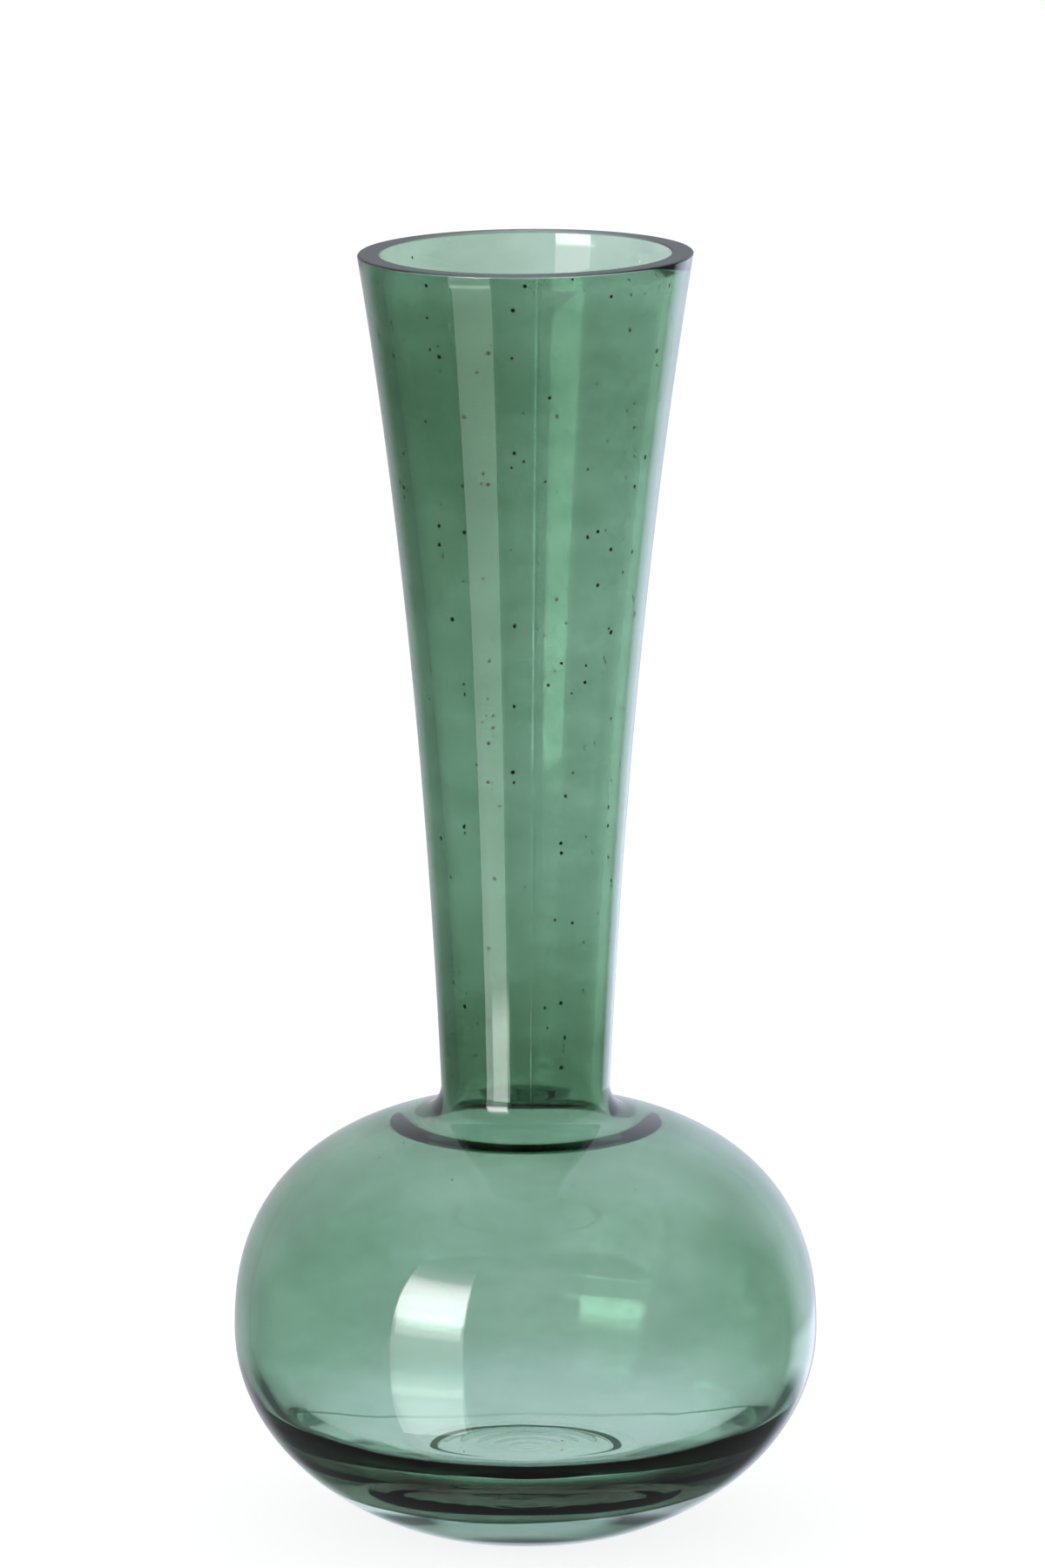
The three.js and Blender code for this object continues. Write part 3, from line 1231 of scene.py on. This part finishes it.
@dataclass
class GlassBody:
    """The clear glass vessel."""

    profile: VaseProfile
    turning: Turning
    glass: ClearGlass = ClearGlass()
    rim: GroundGlass = GroundGlass()

    def build(self) -> bpy.types.Object:
        """Builds the vessel and ties it to the frame.

        Returns:
            The piece.
        """
        rings = self.profile.glass()
        piece = self.turning.turn("glass_vessel", rings, self.glass.material(), self.rim.material())
        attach(piece, "root")
        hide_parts("glass_body")
        return piece


@dataclass
class ColourCoat:
    """The sprayed film on the outside of the glass."""

    profile: VaseProfile
    turning: Turning
    lacquer: GreenLacquer = GreenLacquer()

    def build(self) -> bpy.types.Object:
        """Builds the film and ties it to the frame.

        Returns:
            The piece.
        """
        finish = self.lacquer.material()
        piece = self.turning.turn("lacquer_film", self.profile.coat(), finish, finish)
        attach(piece, "root")
        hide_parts("colour_coat")
        return piece


# Studio


@dataclass(frozen=True)
class LightPatch:
    """A patch that adds light to what the glass lets through or reflects, and is else unseen.

    Args:
        name: the patch's name.
        corners: its corners in millimetres.
        strength: its greatest brightness.
        by_reach: its share of that by distance from the origin in millimetres.
        by_height: its share of that by height in millimetres.
        mirrored: whether reflections see it too, not only what passes through the glass.
    """

    name: str
    corners: Corners
    strength: float
    by_reach: Stops = ((0, 1.0), (1000, 1.0))
    by_height: Stops = ((0, 1.0), (1000, 1.0))
    mirrored: bool = True

    def build(self) -> None:
        """Builds the patch."""
        tree, patch = flat_shape(self.name, self.corners, f"{self.name}_light")
        place = add(tree, "ShaderNodeTexCoord", output="Object")
        reach = add(tree, VECTOR_MATH, place, operation="LENGTH", output="Value")
        reach = add(tree, MATH, reach, MM, operation="DIVIDE")
        height = add(tree, SEPARATE, place, output="Z")
        height = add(tree, MATH, height, MM, operation="DIVIDE")
        glow = self.strength
        for share in (curve(tree, reach, self.by_reach), curve(tree, height, self.by_height)):
            glow = add(tree, MATH, share, glow, operation="MULTIPLY")
        glow = add(tree, "ShaderNodeEmission", WHITE, glow)
        clear = add(tree, "ShaderNodeBsdfTransparent", WHITE)
        both = add(tree, "ShaderNodeAddShader", clear, glow)
        add(tree, "ShaderNodeOutputMaterial", both)
        patch.visible_camera = False
        patch.visible_diffuse = False
        patch.visible_glossy = self.mirrored
        patch.visible_shadow = False


def flat_shape(name: str, corners: Corners, finish: str) -> tuple[Tree, bpy.types.Object]:
    """Puts a flat shape with an empty material in the scene.

    Args:
        name: the shape's name.
        corners: its corners in order, in millimetres.
        finish: the material's name.

    Returns:
        The material's tree and the shape.
    """
    mesh = bpy.data.meshes.new(name)
    points = [tuple(value * MM for value in corner) for corner in corners]
    mesh.from_pydata(points, [], [tuple(range(len(points)))])
    shape = bpy.data.objects.new(name, mesh)
    bpy.context.scene.collection.objects.link(shape)
    made = bpy.data.materials.new(finish)
    made.use_nodes = True
    made.node_tree.nodes.clear()
    mesh.materials.append(made)
    return made.node_tree, shape


@dataclass(frozen=True)
class Surroundings:
    """The world: what each kind of ray sees of the studio, drawn by direction.

    A bearing is 0 straight behind the vase and 90 on its right, and a lift is 0 level and 90
    straight up, both in degrees.
    """

    soft_light: Colour = (0.75, 0.76, 0.78)

    # Softbox to the left of the camera and its image in the table below: their sides, counted
    # from the camera and below 0 on the left, their brightness by lift, and their colours
    softbox_sides: Pair = (-54.5, -24.5)
    softbox_soft: float = 0.4
    lamp_by_lift: Stops = (
        (-58, 0.0), (-48, 0.5), (-42, 0.9), (-34, 0.9), (-30, 1.1), (-27, 1.55), (-24, 1.95),
        (-20, 2.2), (-18.5, 3.2), (-16.4, 5.2), (-14.5, 5.6), (-12.9, 3.9), (-9.4, 1.8),
        (-4.8, 1.7), (-1.3, 2.2), (2.5, 3.0), (6, 2.6), (9, 2.7), (10.5, 3.6), (12.5, 9.0),
        (15, 12.4), (20, 13.2), (28, 13.2), (32, 9.2), (35.5, 2.4), (43, 0.4), (50, 0.0),
    )
    image_colour: Colour = (0.9, 1.04, 0.94)
    lamp_colour: Colour = (1.04, 0.92, 1.0)
    lamp_lifts: Pair = (-8.0, 8.0)  # the image's colour turns to the lamp's between them
    lamp_lost: float = 0.48  # share of the lamp that light through the glass doesn't see

    # What reflections see: dark studio in front and a bright sweep behind, which starts where the
    # direction's Y and half its Z come to this, and turns from left to right by the direction's X
    studio_colour: Colour = (0.16, 0.16, 0.17)
    sweep_start: Pair = (0.50, 0.78)
    sweep_lean: float = 0.5
    sweep_left: Colour = (0.60, 0.62, 0.68)
    sweep_right: Colour = (0.85, 0.92, 1.10)
    sweep_sides: Pair = (-0.2, 0.3)
    # A lit panel behind the vase on the right, by bearing and by lift
    panel_by_bearing: Stops = (
        (10, 0.0), (14, 0.3), (18, 0.5), (30, 0.5), (36, 0.6), (42, 0.7), (47, 0.5), (52, 0.0),
    )
    panel_by_lift: Stops = (
        (-22, 0.0), (-17, 2.2), (-13, 2.0), (-11.5, 0.55), (10, 0.3), (30, 0.0),
    )

    # What light through the glass sees: white all round and bluish low down, a ceiling that gets
    # dark between two lifts, and a dark studio on the camera's side above the table
    backdrop_colour: Colour = (1.0, 1.0, 1.02)
    table_colour: Colour = (0.97, 1.02, 1.12)
    table_lifts: Pair = (-34.0, -2.0)
    ceiling_lifts: Pair = (40.0, 54.0)
    ceiling_light: float = 0.06
    front: Pair = (-0.3, -0.1)  # by the direction's Y
    front_lifts: Pair = (-22.0, -8.0)
    front_loss: float = 0.88
    # Brightness of the lit backdrop by bearing
    backdrop: Stops = (
        (-180, 0.7), (-90, 0.7), (-40, 0.75), (-18, 1.0),
        (18, 1.0), (40, 1.45), (90, 1.5), (180, 0.9),
    )
    # How much darker the table is by bearing to either side, and the lifts between which that ends
    table_edge: Stops = ((0, 0.0), (20, 0.0), (27, 0.8), (70, 0.8), (90, 0.0))
    edge_lifts: Pair = (-25.0, -17.0)

    def build(self) -> None:
        """Builds the world."""
        world = bpy.data.worlds.new("studio")
        bpy.context.scene.world = world
        world.use_nodes = True
        tree = world.node_tree
        tree.nodes.clear()
        direction = add(tree, "ShaderNodeTexCoord", output="Generated")
        x, y, z = (add(tree, SEPARATE, direction, output=axis) for axis in "XYZ")
        lift = add(tree, MATH, z, operation="ARCSINE")
        lift = add(tree, MATH, lift, operation="DEGREES")
        bearing = add(tree, MATH, x, y, operation="ARCTAN2")
        bearing = add(tree, MATH, bearing, operation="DEGREES")

        upward = add(tree, MAP_RANGE, lift, *self.lamp_lifts)
        lamps = self._lamps(tree, x, y, lift, upward)
        mirrored = self._mirrored(tree, (x, y, z), lift, bearing)
        mirrored = add(tree, VECTOR_MATH, mirrored, lamps, operation="ADD")
        kept = add(tree, MATH, upward, -self.lamp_lost, 1.0, operation="MULTIPLY_ADD")
        lamps = add(tree, VECTOR_MATH, operation="SCALE", Vector=lamps, Scale=kept)
        passed = self._passed(tree, y, lift, bearing)
        passed = add(tree, VECTOR_MATH, passed, lamps, operation="ADD")

        surface = add(tree, "ShaderNodeBackground", (*self.soft_light, 1.0))
        for ray, colour in (
            (Ray.GLOSSY, mirrored),
            (Ray.TRANSMISSION, passed),
            (Ray.CAMERA, WHITE),
        ):
            chosen = add(tree, "ShaderNodeLightPath", output=ray.value)
            shown = add(tree, "ShaderNodeBackground", colour)
            surface = add(tree, "ShaderNodeMixShader", chosen, surface, shown)
        add(tree, "ShaderNodeOutputWorld", surface)

    def _lamps(self, tree: Tree, x: Socket, y: Socket, lift: Socket, upward: Socket) -> Socket:
        """Adds the softbox and its fainter image in the table.

        Args:
            tree: the world's tree.
            x: the direction's X.
            y: its Y.
            lift: its lift.
            upward: how far the image's colour has turned to the lamp's.

        Returns:
            Their light.
        """
        back = add(tree, MATH, y, -1.0, operation="MULTIPLY")
        aside = add(tree, MATH, x, back, operation="ARCTAN2")
        aside = add(tree, MATH, aside, operation="DEGREES")
        glow = curve(tree, lift, self.lamp_by_lift)
        for side, ends in zip(self.softbox_sides, ((0.0, 1.0), (1.0, 0.0))):
            soft = (side - self.softbox_soft, side + self.softbox_soft)
            within = add(tree, MAP_RANGE, aside, *soft, *ends, **SOFTLY)
            glow = add(tree, MATH, glow, within, operation="MULTIPLY")
        colours = ((*self.image_colour, 1.0), (*self.lamp_colour, 1.0))
        colour = add(tree, MIX, upward, *colours, data_type="RGBA", output="Result")
        return add(tree, VECTOR_MATH, operation="SCALE", Vector=colour, Scale=glow)

    def _mirrored(
        self, tree: Tree, direction: tuple[Socket, Socket, Socket], lift: Socket, bearing: Socket
    ) -> Socket:
        """Adds what reflections see beside the lamps.

        Args:
            tree: the world's tree.
            direction: the direction's X, Y and Z.
            lift: its lift.
            bearing: its bearing.

        Returns:
            The light.
        """
        x, y, z = direction
        lean = add(tree, MATH, z, self.sweep_lean, y, operation="MULTIPLY_ADD")
        rear = add(tree, MAP_RANGE, lean, *self.sweep_start, **SOFTLY)
        right = add(tree, MAP_RANGE, x, *self.sweep_sides, **SOFTLY)
        sides = ((*self.sweep_left, 1.0), (*self.sweep_right, 1.0))
        sweep = add(tree, MIX, right, *sides, data_type="RGBA", output="Result")
        dark = (*self.studio_colour, 1.0)
        seen = add(tree, MIX, rear, dark, sweep, data_type="RGBA", output="Result")
        panel = curve(tree, bearing, self.panel_by_bearing)
        by_lift = curve(tree, lift, self.panel_by_lift)
        panel = add(tree, MATH, panel, by_lift, operation="MULTIPLY")
        panel = add(tree, VECTOR_MATH, operation="SCALE", Vector=self.sweep_right, Scale=panel)
        return add(tree, VECTOR_MATH, seen, panel, operation="ADD")

    def _passed(self, tree: Tree, y: Socket, lift: Socket, bearing: Socket) -> Socket:
        """Adds what light through the glass sees beside the lamps.

        Args:
            tree: the world's tree.
            y: the direction's Y.
            lift: its lift.
            bearing: its bearing.

        Returns:
            The light.
        """
        low = add(tree, MAP_RANGE, lift, *self.table_lifts, 1.0, 0.0)
        colours = ((*self.backdrop_colour, 1.0), (*self.table_colour, 1.0))
        colour = add(tree, MIX, low, *colours, data_type="RGBA", output="Result")

        lit = add(tree, MAP_RANGE, lift, *self.ceiling_lifts, 1.0, self.ceiling_light, **SOFTLY)
        forward = add(tree, MAP_RANGE, y, *self.front, self.front_loss, 0.0, **SOFTLY)
        above = add(tree, MAP_RANGE, lift, *self.front_lifts, **SOFTLY)
        beside = add(tree, MATH, bearing, operation="ABSOLUTE")
        beside = curve(tree, beside, self.table_edge)
        deep = add(tree, MAP_RANGE, lift, *self.edge_lifts, 1.0, 0.0, **SOFTLY)
        for share, other in ((forward, above), (beside, deep)):
            dark = add(tree, MATH, share, other, operation="MULTIPLY")
            kept = add(tree, MATH, 1.0, dark, operation="SUBTRACT")
            lit = add(tree, MATH, lit, kept, operation="MULTIPLY")
        lit = add(tree, MATH, lit, curve(tree, bearing, self.backdrop), operation="MULTIPLY")
        return add(tree, VECTOR_MATH, operation="SCALE", Vector=colour, Scale=lit)


@dataclass
class Studio:
    """Camera, floor and light."""

    surroundings: Surroundings = Surroundings()
    camera_distance: float = 2700 * MM
    camera_height: float = 691.5 * MM
    camera_offset: float = -0.71 * MM
    camera_pitch: float = 10.823  # degrees down
    camera_reach: float = 50.0  # metres
    focal_pixels: float = 13583.0  # focal length in pixels of the photograph
    image_height: float = 1800.0  # pixels
    sensor: float = 36.0
    floor_radius: float = 8000.0  # millimetres
    floor_sides: int = 64
    paper: str = "8c8c8c"
    paper_glow: float = 0.85
    low_part_distance: float = 650.0  # millimetres, as the next
    low_part_heights: Pair = (150.0, 372.0)
    low_part_strength: float = 9.0
    max_bounces: int = 40
    glossy_bounces: int = 24
    transparent_bounces: int = 160

    def camera(self) -> None:
        """Sets up the camera at the photograph's angle."""
        data = bpy.data.cameras.new("camera")
        data.sensor_fit = "VERTICAL"
        data.sensor_height = self.sensor
        data.sensor_width = self.sensor
        data.lens = self.focal_pixels / self.image_height * self.sensor
        data.clip_end = self.camera_reach
        camera = bpy.data.objects.new("camera", data)
        camera.location = (self.camera_offset, -self.camera_distance, self.camera_height)
        camera.rotation_euler = (math.radians(90 - self.camera_pitch), 0.0, 0.0)
        bpy.context.scene.collection.objects.link(camera)
        bpy.context.scene.camera = camera

    def floor(self) -> None:
        """A plain pale floor, which only the camera and soft light see."""
        turns = [2 * math.pi * i / self.floor_sides for i in range(self.floor_sides)]
        edge = tuple(
            (self.floor_radius * math.cos(turn), self.floor_radius * math.sin(turn), 0.0)
            for turn in turns
        )
        tree, floor = flat_shape("studio_floor", edge, "matt_white_paper")
        paper = add(tree, "ShaderNodeBsdfDiffuse", (*linear(self.paper), 1.0))
        glow = add(tree, "ShaderNodeEmission", WHITE, self.paper_glow)
        both = add(tree, "ShaderNodeAddShader", paper, glow)
        add(tree, "ShaderNodeOutputMaterial", both)
        floor.visible_glossy = False
        floor.visible_transmission = False

    def near_patches(self) -> tuple[LightPatch, ...]:
        """Works out the parts of the softbox and its image that are too near for the world.

        Returns:
            The patches.
        """
        turns = [math.radians(side) for side in self.surroundings.softbox_sides]
        ends = [
            (self.low_part_distance * math.sin(turn), -self.low_part_distance * math.cos(turn))
            for turn in turns
        ]
        low, high = self.low_part_heights
        standing = [(*end, low) for end in ends] + [(*end, high) for end in reversed(ends)]
        return (
            LightPatch(
                "softbox_in_table",
                corners=((-61, -80, 0), (-193, -174, 0), (-98, -246, 0), (-31, -99, 0)),
                strength=3.2,
                by_reach=((105, 1.0), (250, 0.0)),
            ),
            LightPatch(
                "softbox_foot",
                corners=((-98, -111, 62), (-52, -143, 62), (-52, -143, 90), (-98, -111, 90)),
                strength=4.8,
                by_height=((62, 0.0), (68, 0.8), (76, 1.0), (81, 1.0), (90, 0.0)),
            ),
            LightPatch(
                "softbox_low_part", tuple(standing), self.low_part_strength, mirrored=False
            ),
        )

    def build(self) -> None:
        """Builds the studio and sets how far light is followed through the glass."""
        self.camera()
        self.floor()
        for patch in self.near_patches():
            patch.build()
        self.surroundings.build()
        scene = bpy.context.scene
        scene.view_settings.view_transform = "Standard"
        scene.cycles.max_bounces = self.max_bounces
        scene.cycles.transmission_bounces = self.max_bounces
        scene.cycles.glossy_bounces = self.glossy_bounces
        scene.cycles.transparent_max_bounces = self.transparent_bounces


def main() -> None:
    """Builds the vase and its studio."""
    logging.basicConfig(level=logging.INFO, format="%(name)s: %(message)s")
    Studio().build()
    sizes = VaseSizes()
    profile = VaseProfile(sizes)
    turning = Turning(top=sizes.height * MM)
    turning.build("turn_about_z")
    for sub_assembly in (GlassBody(profile, turning), ColourCoat(profile, turning)):
        piece = sub_assembly.build()
        LOG.info("made %s", piece.name)


if __name__ == "__main__":
    main()
